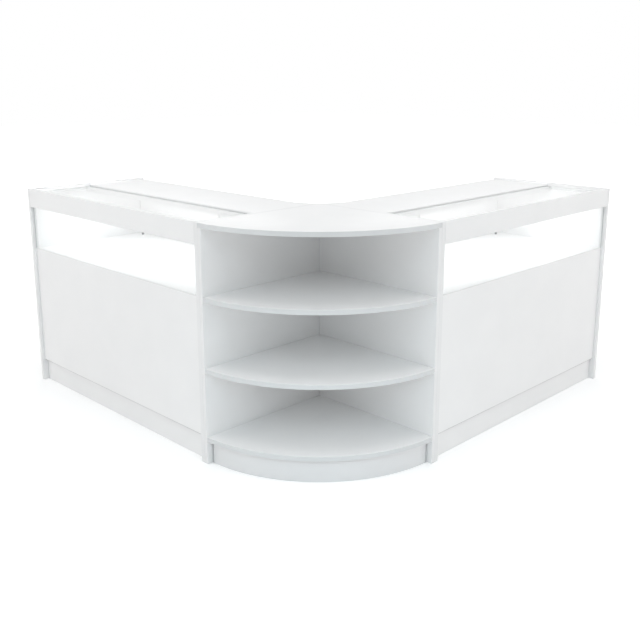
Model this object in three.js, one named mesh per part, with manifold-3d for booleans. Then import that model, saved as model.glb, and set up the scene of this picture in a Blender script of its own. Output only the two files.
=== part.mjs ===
// L-shaped reception desk: two straight counters with lit glass displays, joined by a quarter-round shelf corner.
// Millimetres, +Z up. The origin is on the floor, under the middle of the desk's bounding box.
import * as THREE from 'three';
import { mergeVertices } from 'three/addons/utils/BufferGeometryUtils.js';
import Module from 'manifold-3d';

const wasm = await Module();
wasm.setup();

// Overall sizes
const HEIGHT = 900;
const DEPTH = 600;
const COUNTER_LENGTH = 1245;
const BOARD = 18;
const WORKTOP = 16;
const GAP = 0.3;

// Quarter-round corner unit
const SHELF_TOPS = { upper_shelf: 636, lower_shelf: 372, base: 108 };
const ARC_SEGMENTS = 96;
const KICK_RADIUS = 577.5;
const KICK_THICKNESS = 16;
const KICK_END_GAP = 6;
const INFILL_RADIUS = 170;
const INFILL_TIP = 2;

// Heights in a counter
const PLINTH_TOP = 98;
const FRONT_BOTTOM = 100;
const DECK_TOP = 630;
const WINDOW_TOP = 820;
const WORKTOP_TOP = 892;
const STORAGE_SHELF_TOP = 373;

// Depths in a counter, measured from its rear edge
const FRONT_FACE = 588;
const PLINTH_FACE = 576;
const REAR_PLINTH_FACE = 24;
const WORKTOP_DEPTH = 300;
const DIVIDER_REAR = 20;
const STORAGE_SHELF_REAR = 60;
const STORAGE_SHELF_FRONT = 560;
const SHELF_SIDE_GAP = 1;

// Glass
const FRONT_GLASS = 5;
const TOP_GLASS = 10;
const REBATE_HEIGHT = 14;
const TOP_GLASS_GAP = 2;
const GLASS_END_GAP = 1;
const RAIL_OVERHANG = 20;
const RAIL_WIDTH = 42;

// By-pass sliding doors and their tracks
const DOOR = 8;
const DOOR_OVERLAP = 27;
const DOOR_END_GAP = 0.8;
const DOOR_FLOOR_GAP = 0.5;
const TRACK_REAR = 6;
const TRACK_RIB = 2;
const CHANNEL = 10;
const LOWER_TRACK_HEIGHT = 10;
const UPPER_TRACK_HEIGHT = 18;
const DOOR_UPPER_ENGAGEMENT = 8;
const PULL_RADIUS = 18;
const PULL_DEPTH = 5.5;
const PULL_FROM_EDGE = 60;
const ROUND_SIDES = 32;

// Lock on the staff-side door
const LOCK_FROM_EDGE = 14;
const LOCK_FLANGE_RADIUS = 11;
const LOCK_FLANGE = 3;
const LOCK_BARREL_RADIUS = 7.7;
const LOCK_HOLE_RADIUS = 8.1;
const LOCK_CORE_RADIUS = 4.6;
const LOCK_BORE_RADIUS = 5;
const LOCK_CORE_PROUD = 1;
const KEYWAY = { width: 1.2, height: 6, depth: 5 };

// Display light behind the fascia
const LIGHT_START = 372;
const LIGHT_LENGTH = 573;
const LIGHT_HOUSING = { width: 18, bottom: 836 };
const LIGHT_DIFFUSER_RADIUS = 9;
const LIGHT_END = { length: 11, width: 18, bottom: 815 };
const ROCKER = { width: 8, reach: 7.5, rise: 1.05, crown: 2.5, back: 1.5, tilt: 8 };
const ROCKER_POCKET = { width: 9, height: 17.4, depth: 5.4 };
const ROCKER_PIVOT_DEPTH = 2;
const ROCKER_HEIGHT = 838;

// Places worked out from the sizes above
const SPAN = [BOARD + GAP, COUNTER_LENGTH - BOARD - GAP];
const MIDDLE = COUNTER_LENGTH / 2;
const FASCIA_BACK = DEPTH - BOARD;
const FRONT_BACK = FRONT_FACE - BOARD;
const WORKTOP_UNDERSIDE = WORKTOP_TOP - WORKTOP;
const RAIL_TOP = WORKTOP_UNDERSIDE - GAP;
const DECK_UNDERSIDE = DECK_TOP - BOARD;
const TRACK_WIDTH = 3 * TRACK_RIB + 2 * CHANNEL;
const CHANNEL_SIDE_GAP = (CHANNEL - DOOR) / 2;
const STAFF_DOOR_REAR = TRACK_REAR + TRACK_RIB + CHANNEL_SIDE_GAP;
const INNER_DOOR_REAR = STAFF_DOOR_REAR + CHANNEL + TRACK_RIB;
const DOOR_WIDTH = (SPAN[1] - SPAN[0] + DOOR_OVERLAP) / 2 - DOOR_END_GAP;
const DOOR_BOTTOM = DECK_TOP + GAP + TRACK_RIB + DOOR_FLOOR_GAP;
const DOOR_TOP = RAIL_TOP - UPPER_TRACK_HEIGHT + DOOR_UPPER_ENGAGEMENT;
const DOOR_MIDDLE = (DOOR_BOTTOM + DOOR_TOP) / 2;
const CORNER_DOOR_EDGE = SPAN[0] + DOOR_END_GAP + DOOR_WIDTH;
const LOCK_PLACE = CORNER_DOOR_EDGE - LOCK_FROM_EDGE;
const LIGHT_FRONT = FASCIA_BACK - GAP;
const LIGHT_TOP = RAIL_TOP - BOARD - GAP;

const FINISHES = {
  melamine: { color: 0xf1f2f3, roughness: 0.42, metalness: 0 },
  glass: { color: 0xdfeceb, roughness: 0.05, metalness: 0, transparent: true, opacity: 0.35 },
  aluminium: { color: 0xc9cccf, roughness: 0.35, metalness: 0.9 },
  chrome: { color: 0xd8dadc, roughness: 0.15, metalness: 1 },
  opal: { color: 0xffffff, roughness: 0.5, metalness: 0 },
  grey: { color: 0xc5c6c7, roughness: 0.5, metalness: 0 },
  black: { color: 0x242528, roughness: 0.55, metalness: 0 },
};

// A counter's pieces are drawn with x along it from the corner, y from its rear to its front, and z up.
// The left counter is that drawing turned a quarter turn, and the right one its mirror image.
function mirrored(geometry) {
  const copy = geometry.clone().applyMatrix4(new THREE.Matrix4().makeScale(1, -1, 1));
  const flat = copy.index ? copy.toNonIndexed() : copy;
  const position = flat.attributes.position;
  for (let i = 0; i < position.count; i += 3) {
    const second = new THREE.Vector3().fromBufferAttribute(position, i + 1);
    const third = new THREE.Vector3().fromBufferAttribute(position, i + 2);
    position.setXYZ(i + 1, third.x, third.y, third.z);
    position.setXYZ(i + 2, second.x, second.y, second.z);
  }
  return closed(flat);
}

// Only positions, with shared vertices merged, so that every body is one closed surface
function closed(geometry) {
  const bare = geometry.clone();
  bare.deleteAttribute('normal');
  bare.deleteAttribute('uv');
  return mergeVertices(bare, 1e-4);
}

function solid(geometry) {
  const merged = closed(geometry);
  const mesh = new wasm.Mesh({
    numProp: 3,
    vertProperties: new Float32Array(merged.attributes.position.array),
    triVerts: new Uint32Array(merged.index.array),
  });
  return new wasm.Manifold(mesh);
}

function cut(geometry, ...tools) {
  let body = solid(geometry);
  for (const tool of tools) {
    body = body.subtract(solid(tool));
  }
  const mesh = body.getMesh();
  const result = new THREE.BufferGeometry();
  result.setAttribute('position', new THREE.BufferAttribute(mesh.vertProperties, 3));
  result.setIndex(new THREE.BufferAttribute(mesh.triVerts, 1));
  return result;
}

function block([x0, x1], [y0, y1], [z0, z1]) {
  const box = new THREE.BoxGeometry(x1 - x0, y1 - y0, z1 - z0);
  return box.translate((x0 + x1) / 2, (y0 + y1) / 2, (z0 + z1) / 2);
}

// A section drawn in depth and height, run along the counter
function profile(points, [x0, x1], curveSegments = 12) {
  const isShape = points instanceof THREE.Shape;
  const shape = isShape ? points : new THREE.Shape(points.map(([y, z]) => new THREE.Vector2(y, z)));
  const bar = new THREE.ExtrudeGeometry(shape, { depth: x1 - x0, bevelEnabled: false, curveSegments });
  const along = new THREE.Matrix4().makeBasis(
    new THREE.Vector3(0, 1, 0),
    new THREE.Vector3(0, 0, 1),
    new THREE.Vector3(1, 0, 0),
  );
  return bar.applyMatrix4(along).translate(x0, 0, 0);
}

// A flat board drawn in plan
function slab(shape, bottom, thickness) {
  const board = new THREE.ExtrudeGeometry(shape, {
    depth: thickness,
    bevelEnabled: false,
    curveSegments: ARC_SEGMENTS,
  });
  return board.translate(0, 0, bottom);
}

// A round bar running from front to rear
function roundBar(radius, x, [y0, y1], z, sides = ROUND_SIDES) {
  return new THREE.CylinderGeometry(radius, radius, y1 - y0, sides).translate(x, (y0 + y1) / 2, z);
}

function piece(name, geometry, finish) {
  const mesh = new THREE.Mesh(geometry, new THREE.MeshStandardMaterial(FINISHES[finish]));
  mesh.name = name;
  return mesh;
}

// Boards of one counter
function counterBoards() {
  const fascia = [
    [FASCIA_BACK, HEIGHT],
    [FASCIA_BACK, WINDOW_TOP + REBATE_HEIGHT],
    [FRONT_FACE + GAP, WINDOW_TOP + REBATE_HEIGHT],
    [FRONT_FACE + GAP, WINDOW_TOP],
    [DEPTH, WINDOW_TOP],
    [DEPTH, HEIGHT],
  ];
  const boards = {
    inner_end: block([0, BOARD], [0, DEPTH], [0, HEIGHT]),
    outer_end: block([COUNTER_LENGTH - BOARD, COUNTER_LENGTH], [0, DEPTH], [0, HEIGHT]),
    fascia: profile(fascia, SPAN),
    front_panel: block(SPAN, [FRONT_BACK, FRONT_FACE], [FRONT_BOTTOM, DECK_TOP]),
    plinth: block(SPAN, [PLINTH_FACE - BOARD, PLINTH_FACE], [0, PLINTH_TOP]),
    rear_plinth: block(SPAN, [REAR_PLINTH_FACE, REAR_PLINTH_FACE + BOARD], [0, PLINTH_TOP]),
    base_board: block(SPAN, [0, FRONT_BACK - GAP], [PLINTH_TOP + GAP, PLINTH_TOP + GAP + BOARD]),
    display_deck: block(SPAN, [0, FRONT_BACK - GAP], [DECK_UNDERSIDE, DECK_TOP]),
    worktop: block(SPAN, [0, WORKTOP_DEPTH], [WORKTOP_UNDERSIDE, WORKTOP_TOP]),
    worktop_rail: block(
      SPAN,
      [WORKTOP_DEPTH + RAIL_OVERHANG - RAIL_WIDTH, WORKTOP_DEPTH + RAIL_OVERHANG],
      [RAIL_TOP - BOARD, RAIL_TOP],
    ),
    glass_ledge: block(SPAN, [FASCIA_BACK - GAP - BOARD, FASCIA_BACK - GAP], [RAIL_TOP - BOARD, RAIL_TOP]),
    centre_divider: block(
      [MIDDLE - BOARD / 2, MIDDLE + BOARD / 2],
      [DIVIDER_REAR, FRONT_BACK - GAP],
      [PLINTH_TOP + BOARD + 2 * GAP, DECK_UNDERSIDE - GAP],
    ),
  };
  const bays = {
    corner_shelf: [SPAN[0], MIDDLE - BOARD / 2],
    end_shelf: [MIDDLE + BOARD / 2, SPAN[1]],
  };
  for (const [name, [from, to]] of Object.entries(bays)) {
    boards[name] = block(
      [from + SHELF_SIDE_GAP, to - SHELF_SIDE_GAP],
      [STORAGE_SHELF_REAR, STORAGE_SHELF_FRONT],
      [STORAGE_SHELF_TOP - BOARD, STORAGE_SHELF_TOP],
    );
  }
  return boards;
}

// Panes of one counter
function counterGlass() {
  return {
    front_glass: block(
      [SPAN[0] + GLASS_END_GAP, SPAN[1] - GLASS_END_GAP],
      [FRONT_FACE - FRONT_GLASS, FRONT_FACE],
      [DECK_TOP + GAP, WINDOW_TOP + REBATE_HEIGHT - GLASS_END_GAP],
    ),
    top_glass: block(
      [SPAN[0] + GLASS_END_GAP, SPAN[1] - GLASS_END_GAP],
      [WORKTOP_DEPTH + TOP_GLASS_GAP, FASCIA_BACK - GLASS_END_GAP],
      [WORKTOP_UNDERSIDE, WORKTOP_UNDERSIDE + TOP_GLASS],
    ),
  };
}

// A double track: a web with three ribs that hold two doors apart, ribs pointing up or down from the web
function trackSection(web, ribs) {
  const floor = web + Math.sign(ribs - web) * TRACK_RIB;
  const outline = [[TRACK_REAR, web]];
  for (let rib = 0; rib < 3; rib += 1) {
    const from = TRACK_REAR + rib * (TRACK_RIB + CHANNEL);
    if (rib > 0) {
      outline.push([from, floor]);
    }
    outline.push([from, ribs], [from + TRACK_RIB, ribs]);
    if (rib < 2) {
      outline.push([from + TRACK_RIB, floor]);
    }
  }
  outline.push([TRACK_REAR + TRACK_WIDTH, web]);
  return outline;
}

function counterTracks() {
  const lowerWeb = DECK_TOP + GAP;
  return {
    lower_track: profile(trackSection(lowerWeb, lowerWeb + LOWER_TRACK_HEIGHT), SPAN),
    upper_track: profile(trackSection(RAIL_TOP, RAIL_TOP - UPPER_TRACK_HEIGHT), SPAN),
  };
}

// A sliding door with a round finger recess in its staff-side face
function door(start, rear, pullPlace, ...cuts) {
  const panel = block([start, start + DOOR_WIDTH], [rear, rear + DOOR], [DOOR_BOTTOM, DOOR_TOP]);
  const recess = roundBar(PULL_RADIUS, pullPlace, [rear - 1, rear + PULL_DEPTH], DOOR_MIDDLE);
  return cut(panel, recess, ...cuts);
}

function counterDoors() {
  const cornerStart = CORNER_DOOR_EDGE - DOOR_WIDTH;
  const endStart = SPAN[1] - DOOR_END_GAP - DOOR_WIDTH;
  const endEdge = endStart + DOOR_WIDTH;
  const lockHole = roundBar(
    LOCK_HOLE_RADIUS,
    LOCK_PLACE,
    [STAFF_DOOR_REAR - 1, STAFF_DOOR_REAR + DOOR + 1],
    DOOR_MIDDLE,
  );
  return {
    corner_door: door(cornerStart, STAFF_DOOR_REAR, cornerStart + PULL_FROM_EDGE, lockHole),
    end_door: door(endStart, INNER_DOOR_REAR, endEdge - PULL_FROM_EDGE),
  };
}

// The lock: a flanged barrel through the staff-side door, and the core that the key turns
function counterLock() {
  const flangeRear = STAFF_DOOR_REAR - GAP - LOCK_FLANGE;
  const barrelFront = STAFF_DOOR_REAR + DOOR;
  const section = [
    [LOCK_BORE_RADIUS, flangeRear],
    [LOCK_FLANGE_RADIUS, flangeRear],
    [LOCK_FLANGE_RADIUS, flangeRear + LOCK_FLANGE],
    [LOCK_BARREL_RADIUS, flangeRear + LOCK_FLANGE],
    [LOCK_BARREL_RADIUS, barrelFront],
    [LOCK_BORE_RADIUS, barrelFront],
    [LOCK_BORE_RADIUS, flangeRear],
  ];
  const body = new THREE.LatheGeometry(section.map(([r, y]) => new THREE.Vector2(r, y)), ROUND_SIDES);
  const coreRear = flangeRear - LOCK_CORE_PROUD;
  const keyway = block(
    [LOCK_PLACE - KEYWAY.width / 2, LOCK_PLACE + KEYWAY.width / 2],
    [coreRear - 1, coreRear + KEYWAY.depth],
    [DOOR_MIDDLE - KEYWAY.height / 2, DOOR_MIDDLE + KEYWAY.height / 2],
  );
  return {
    lock_body: body.translate(LOCK_PLACE, 0, DOOR_MIDDLE),
    lock_core: cut(roundBar(LOCK_CORE_RADIUS, LOCK_PLACE, [coreRear, barrelFront], DOOR_MIDDLE), keyway),
  };
}

// The display light: a bar with a round opal underside, and a switch block at its corner end
function counterLight() {
  const run = [LIGHT_START, LIGHT_START + LIGHT_LENGTH];
  const housing = [
    [LIGHT_FRONT - LIGHT_HOUSING.width, LIGHT_HOUSING.bottom],
    [LIGHT_FRONT, LIGHT_HOUSING.bottom],
    [LIGHT_FRONT, LIGHT_TOP],
    [LIGHT_FRONT - LIGHT_HOUSING.width, LIGHT_TOP],
  ];
  const opalTop = LIGHT_HOUSING.bottom - GAP;
  const opal = new THREE.Shape();
  opal.absarc(LIGHT_FRONT - LIGHT_HOUSING.width / 2, opalTop, LIGHT_DIFFUSER_RADIUS, Math.PI, 2 * Math.PI, false);
  const endRun = [LIGHT_START - GAP - LIGHT_END.length, LIGHT_START - GAP];
  const endRear = LIGHT_FRONT - LIGHT_END.width;
  const endMiddle = (endRun[0] + endRun[1]) / 2;
  const pocket = block(
    [endMiddle - ROCKER_POCKET.width / 2, endMiddle + ROCKER_POCKET.width / 2],
    [endRear - 1, endRear + ROCKER_POCKET.depth],
    [ROCKER_HEIGHT - ROCKER_POCKET.height / 2, ROCKER_HEIGHT + ROCKER_POCKET.height / 2],
  );
  return {
    light_housing: profile(housing, run),
    light_diffuser: profile(opal, run, 24),
    light_end: cut(block(endRun, [endRear, LIGHT_FRONT], [LIGHT_END.bottom, LIGHT_TOP]), pocket),
    light_switch: rocker(endMiddle, endRear + ROCKER_PIVOT_DEPTH),
  };
}

// A rocker that leans one way at rest, drawn about its pivot
function rocker(x, pivotDepth) {
  const section = [
    [ROCKER.back, -ROCKER.reach],
    [ROCKER.back, ROCKER.reach],
    [-ROCKER.crown - ROCKER.rise, ROCKER.reach],
    [-ROCKER.crown, 0],
    [-ROCKER.crown - ROCKER.rise, -ROCKER.reach],
  ];
  const bar = profile(section, [x - ROCKER.width / 2, x + ROCKER.width / 2]);
  bar.rotateX(THREE.MathUtils.degToRad(ROCKER.tilt));
  return bar.translate(0, pivotDepth, ROCKER_HEIGHT);
}

const FINISH_OF = {
  front_glass: 'glass',
  top_glass: 'glass',
  lower_track: 'aluminium',
  upper_track: 'aluminium',
  lock_body: 'chrome',
  lock_core: 'chrome',
  light_housing: 'aluminium',
  light_diffuser: 'opal',
  light_end: 'grey',
  light_switch: 'black',
};

function counter(side) {
  const group = new THREE.Group();
  const pieces = {
    ...counterBoards(),
    ...counterGlass(),
    ...counterTracks(),
    ...counterDoors(),
    ...counterLock(),
    ...counterLight(),
  };
  for (const [name, geometry] of Object.entries(pieces)) {
    const shape = side === 'right' ? mirrored(geometry) : closed(geometry);
    group.add(piece(`${side}_${name}`, shape, FINISH_OF[name] ?? 'melamine'));
  }
  if (side === 'left') {
    group.rotation.z = Math.PI / 2;
  }
  return group;
}

// A quarter disc about the corner, kept back from the two straight sides by an inset
function quarterDisc(radius, inset) {
  const turn = Math.asin(inset / radius);
  const shape = new THREE.Shape();
  shape.moveTo(-inset, -inset);
  shape.lineTo(-inset, -radius * Math.cos(turn));
  shape.absarc(0, 0, radius, -Math.PI / 2 - turn, -Math.PI + turn, true);
  return shape;
}

function kickboardShape() {
  const inset = BOARD + GAP + KICK_END_GAP;
  const inner = KICK_RADIUS - KICK_THICKNESS;
  const outerTurn = Math.asin(inset / KICK_RADIUS);
  const innerTurn = Math.asin(inset / inner);
  const shape = new THREE.Shape();
  shape.absarc(0, 0, KICK_RADIUS, -Math.PI / 2 - outerTurn, -Math.PI + outerTurn, true);
  shape.absarc(0, 0, inner, -Math.PI + innerTurn, -Math.PI / 2 - innerTurn, false);
  return shape;
}

// The board that rounds the staff-side corner, with its thin tips cut off square
function infillShape() {
  const turn = Math.acos((INFILL_RADIUS - INFILL_TIP) / INFILL_RADIUS);
  const tip = INFILL_RADIUS * (1 - Math.sin(turn));
  const shape = new THREE.Shape();
  shape.moveTo(GAP, GAP);
  shape.lineTo(tip, GAP);
  shape.absarc(INFILL_RADIUS, INFILL_RADIUS, INFILL_RADIUS, -Math.PI / 2 - turn, -Math.PI + turn, true);
  shape.lineTo(GAP, tip);
  return shape;
}

function cornerUnit() {
  const sideTop = HEIGHT - BOARD - GAP;
  const inset = BOARD + 2 * GAP;
  const across = [-BOARD - GAP, -GAP];
  const pieces = {
    corner_left_side: block([-DEPTH, -GAP], across, [0, sideTop]),
    corner_right_side: block(across, [-DEPTH, -inset], [0, sideTop]),
    corner_top: slab(quarterDisc(DEPTH, GAP), HEIGHT - BOARD, BOARD),
    corner_kickboard: slab(kickboardShape(), 0, SHELF_TOPS.base - BOARD - GAP),
    corner_infill: slab(infillShape(), WORKTOP_UNDERSIDE, WORKTOP),
  };
  for (const [name, top] of Object.entries(SHELF_TOPS)) {
    pieces[`corner_${name}`] = slab(quarterDisc(DEPTH, inset), top - BOARD, BOARD);
  }
  const group = new THREE.Group();
  for (const [name, geometry] of Object.entries(pieces)) {
    group.add(piece(name, closed(geometry), 'melamine'));
  }
  return group;
}

const desk = new THREE.Group();
desk.add(cornerUnit(), counter('left'), counter('right'));
const centre = (COUNTER_LENGTH - DEPTH) / 2;
desk.position.set(-centre, -centre, 0);

export default desk;
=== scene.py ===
# Looks of an L-shaped reception desk: two straight counters with lit glass displays, joined by a
# quarter-round shelf corner. Metres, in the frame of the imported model. The right counter's pieces are
# modelled, and the left counter's are their mirror image.
import math

import bpy
from mathutils import Matrix, Vector


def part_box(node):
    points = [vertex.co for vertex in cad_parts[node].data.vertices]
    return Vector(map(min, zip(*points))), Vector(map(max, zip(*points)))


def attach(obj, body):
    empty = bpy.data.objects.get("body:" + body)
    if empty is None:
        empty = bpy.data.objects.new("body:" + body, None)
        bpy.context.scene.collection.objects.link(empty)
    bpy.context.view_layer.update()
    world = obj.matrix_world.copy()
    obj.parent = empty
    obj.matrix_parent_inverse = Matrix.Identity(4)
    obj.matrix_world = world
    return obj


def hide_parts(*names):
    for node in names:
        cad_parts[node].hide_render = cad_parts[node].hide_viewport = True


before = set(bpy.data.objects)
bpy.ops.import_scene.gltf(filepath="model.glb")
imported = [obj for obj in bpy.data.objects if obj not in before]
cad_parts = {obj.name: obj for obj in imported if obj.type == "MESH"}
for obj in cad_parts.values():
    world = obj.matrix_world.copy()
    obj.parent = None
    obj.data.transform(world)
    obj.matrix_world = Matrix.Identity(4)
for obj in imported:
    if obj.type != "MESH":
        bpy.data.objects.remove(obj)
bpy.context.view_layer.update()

MM = 0.001

# Camera at the photograph's viewing angle
CAMERA_PLACE = (-2.6356, -2.6213, 1.3963)
CAMERA_TURN = (76.64, 0.0, -45.22)
CAMERA_LENS = 46.9
CAMERA_SHIFT = -0.0742

# Light
SKY_STRENGTH = 0.45
LAMP_AIM = Vector((-0.2, -0.2, 0.45))
LAMP_DISTANCE = 12.0
LAMP_SIZE = 7.6
WARM = (1.06, 1.0, 0.97)
COOL = (0.84, 1.0, 1.06)
FLOOR_LAMP = {"size": 0.6, "distance": 0.85, "aim": Vector((-1.4, -1.4, 0))}
END_LAMP = {"size": 0.5, "distance": 1.7, "spread": 28}
RIGHT_END_AIM = Vector((0.9, -0.7, 0.86))
LEFT_END_AIM = Vector((-0.7, 0.9, 0.86))
LAMPS = {
    "top_lamp": {"turn": 0, "rise": 80, "watts": 400},
    "staff_lamp": {"turn": 180, "rise": 30, "watts": 270},
    "left_lamp": {"turn": -80, "rise": 15, "watts": 248, "colour": WARM},
    "right_lamp": {"turn": 80, "rise": 15, "watts": 248, "colour": WARM},
    "front_lamp": {"turn": 0, "rise": 40, "watts": 210, "colour": COOL},
    "floor_lamp": {"turn": 0, "rise": 90, "watts": 2.6, "colour": COOL, **FLOOR_LAMP},
    "right_end_lamp": {"turn": -41, "rise": 12, "watts": 0.34, "aim": RIGHT_END_AIM, **END_LAMP},
    "left_end_lamp": {"turn": 41, "rise": 12, "watts": 0.46, "aim": LEFT_END_AIM, **END_LAMP},
}
DISPLAY_LAMP = {"watts": 1.6, "height": 0.222, "from_end": 0.03, "from_front": 0.045}
OPAL_GLOW = 3.0
FLOOR_SIZE = 40.0
FLOOR_GLOW = {"near": 0.15, "far": 0.6, "from": 1.5, "to": 4.0}

# Edges bent more than SHARP are rounded over, and those bent more than SMOOTH stay creased
SHARP = math.radians(30)
SMOOTH = math.radians(20)

# A face looks along an axis when its normal's part along that axis is over FACING
FACING = 0.9

# A point within NEAR of a plane lies on it, and points within WELD of each other are joined
NEAR = 0.1 * MM
WELD = 0.001 * MM

# How far a cutter stands out of the surface, and the steps round a curved board's whole circle
CUT_PAST = 1 * MM
CURVE_STEPS = 384

# Surfaces
GRAIN = {"depth": 0.02 * MM, "strength": 0.3}
LINE_STRETCH = 0.01

# Boards
ARRIS = 0.8 * MM
WORKTOP_NOSE = {"radius": 5 * MM, "segments": 8}
REBATE = {"height": 14 * MM, "play": 0.3 * MM}
KICKBOARD_THICKNESS = 16 * MM
INFILL_RADIUS = 170 * MM
PIN_HOLE = {"radius": 2.5 * MM, "depth": 8 * MM, "pitch": 32 * MM, "rows": 7}
PIN_HOLE_FROM_EDGE = 70 * MM
PIN_RADIUS = 2.4 * MM
# The lip under the front panel, whose grey is painted shade: the shadow line under the panel's lower edge
SHADOW_LIP = {
    "height": 1.5 * MM, "gap": 0.1 * MM, "from_face": 0.3 * MM, "from_plinth": 0.4 * MM,
    "taper": 0.5 * MM, "rounding": 0.2 * MM,
}

# Glass, with a standing pane's faces in the white bed where their normal's z is under BED_BELOW
PANE_CHAMFER = 0.5 * MM
BED_BELOW = -0.3
BEAD = {
    "height": 1.35 * MM, "depth": 0.48 * MM, "above_panel": 0.075 * MM, "from_face": 0.02 * MM,
    "taper": 0.52 * MM, "rounding": 0.05 * MM,
}
SEAL = {
    "from_end": 15 * MM, "from_side": 0.1 * MM, "from_foot": 0.2 * MM, "above_glass": 0.4 * MM,
    "rounding": 0.4 * MM,
}

# Doors, tracks and lock
TRACK_RIB = 2 * MM
TRACK_CHANNEL = 10 * MM
TRACK_ROUNDING = 0.25 * MM
PULL_RADIUS = 18 * MM
PULL_DEPTH = 5.5 * MM
PULL_FROM_EDGE = 60 * MM
LOCK_FROM_EDGE = 14 * MM
LOCK_HOLE_RADIUS = 8.1 * MM
KEYWAY = Vector((1.2, 5, 6)) * MM

# Display light
HOUSING = {"groove_half_width": 3 * MM, "groove_depth": 1.5 * MM, "rounding": 0.6 * MM}
COVER_ROUNDING = 0.3 * MM
END_BLOCK_ROUNDING = 1 * MM
ROCKER = {
    "width": 8 * MM, "reach": 7.5 * MM, "rise": 1.05 * MM, "crown": 2.5 * MM, "back": 1.5 * MM,
    "rounding": 0.35 * MM, "tilt": 8,
}
ROCKER_POCKET = Vector((9, 5.4, 17.4)) * MM
ROCKER_PIVOT_DEPTH = 2 * MM
ROCKER_HEIGHT = 838 * MM
INLET_FROM_FRONT = 5.2 * MM

# Fittings, with the bracket's screws at shares of its leg
CAP_FROM_END = 34 * MM
CAP_FROM_REAR = 90 * MM
CAP_FROM_FRONT = 90 * MM
BOLT_FROM_EDGE = 100 * MM
BOLT_HEIGHTS = (200 * MM, 540 * MM)
BRACKET = {
    "width": 14 * MM, "thickness": 2 * MM, "leg": 40 * MM, "gap": 0.05 * MM, "rounding": 0.5 * MM,
    "screws": (0.42, 0.8),
}

# The desk's corner, where the two counters' rear edges would meet
counter_low, counter_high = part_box("right_inner_end")
APEX = Vector((counter_low.x, counter_high.y, 0))

# The right counter's length between its end panels
SPAN = (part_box("right_fascia")[0].x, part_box("right_fascia")[1].x)

# From a place on the right counter to its mirror image on the left one, and the way to the staff side
ACROSS_THE_CORNER = Matrix(((0, 1, 0, 0), (1, 0, 0, 0), (0, 0, 1, 0), (0, 0, 0, 1)))
TOWARD_STAFF = Vector((0, 1, 0))

# The surfaces of the storage bays' walls in the right counter, each with the way it looks
divider_low, divider_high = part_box("right_centre_divider")
BAY_WALLS = {
    "inner_end": [(counter_high.x, 1)],
    "centre_divider": [(divider_low.x, -1), (divider_high.x, 1)],
    "outer_end": [(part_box("right_outer_end")[0].x, -1)],
}

# The lock's middle on the door nearer the corner, and the switch's on the light's end block
door_low, door_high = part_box("right_corner_door")
LOCK_PLACE = Vector((door_high.x - LOCK_FROM_EDGE, door_high.y, (door_low.z + door_high.z) / 2))
block_low, block_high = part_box("right_light_end")
SWITCH_PLACE = Vector(((block_low.x + block_high.x) / 2, block_high.y, ROCKER_HEIGHT))


# Modelling by hand: one piece at a time is selected, shaped in edit mode and left at the origin

def take(piece):
    bpy.ops.object.select_all(action="DESELECT")
    piece.select_set(True)
    bpy.context.view_layer.objects.active = piece


def settle(name):
    """Names the piece just added and puts its place into its mesh."""
    piece = bpy.context.object
    piece.name = name
    piece.data.name = name
    bpy.ops.object.transform_apply(location=True, rotation=True, scale=True)
    return piece


def start_block(name, low, high):
    bpy.ops.object.select_all(action="DESELECT")
    low, high = Vector(low), Vector(high)
    bpy.ops.mesh.primitive_cube_add(size=1, location=(low + high) / 2, scale=high - low)
    return settle(name)


def start_disc(name, centre, radius, bottom, top):
    bpy.ops.object.select_all(action="DESELECT")
    bpy.ops.mesh.primitive_cylinder_add(
        vertices=CURVE_STEPS, radius=radius, depth=top - bottom,
        location=(centre.x, centre.y, (bottom + top) / 2),
    )
    return settle(name)


def edit(piece):
    take(piece)
    bpy.ops.object.mode_set(mode="EDIT")
    bpy.ops.mesh.select_all(action="SELECT")


def leave():
    bpy.ops.object.mode_set(mode="OBJECT")


def plane(axis, at):
    """A cutting plane across one axis."""
    point = Vector((0, 0, 0))
    point[axis] = at
    normal = Vector((0, 0, 0))
    normal[axis] = 1
    return {"plane_co": point, "plane_no": normal}


def saw_off(piece, axis, at):
    """Cuts away what lies past a plane across one axis, and closes the cut."""
    edit(piece)
    bpy.ops.mesh.bisect(**plane(axis, at), use_fill=True, clear_outer=True)
    leave()


def score(piece, axis, *places):
    """Marks edge loops across one axis, so that the faces between them can be drawn out."""
    for at in places:
        edit(piece)
        bpy.ops.mesh.bisect(**plane(axis, at))
        leave()


def unpick(piece, kind):
    """Leaves nothing selected in a piece's mesh, ready for picking its points or faces."""
    edit(piece)
    bpy.ops.mesh.select_mode(type=kind)
    bpy.ops.mesh.select_all(action="DESELECT")
    leave()


def pick_faces(piece, wanted):
    """Selects the faces whose centre and normal are wanted, and stays in edit mode."""
    unpick(piece, "FACE")
    for face in piece.data.polygons:
        face.select = wanted(face.center, face.normal)
    bpy.ops.object.mode_set(mode="EDIT")


def pick_points(piece, wanted):
    """Selects the points whose place is wanted, and stays in edit mode."""
    unpick(piece, "VERT")
    for point in piece.data.vertices:
        point.select = wanted(point.co)
    bpy.ops.object.mode_set(mode="EDIT")


def draw_out(piece, wanted, move):
    """Extrudes the wanted faces."""
    pick_faces(piece, wanted)
    bpy.ops.mesh.extrude_region_move(TRANSFORM_OT_translate={"value": move})
    leave()


def move_points(piece, wanted, move):
    """Moves the wanted corner points of a piece."""
    pick_points(piece, wanted)
    bpy.ops.transform.translate(value=move)
    leave()


def shade(piece):
    """Shades the piece smooth, except across its creases."""
    take(piece)
    bpy.ops.object.shade_smooth_by_angle(angle=SMOOTH)


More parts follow.
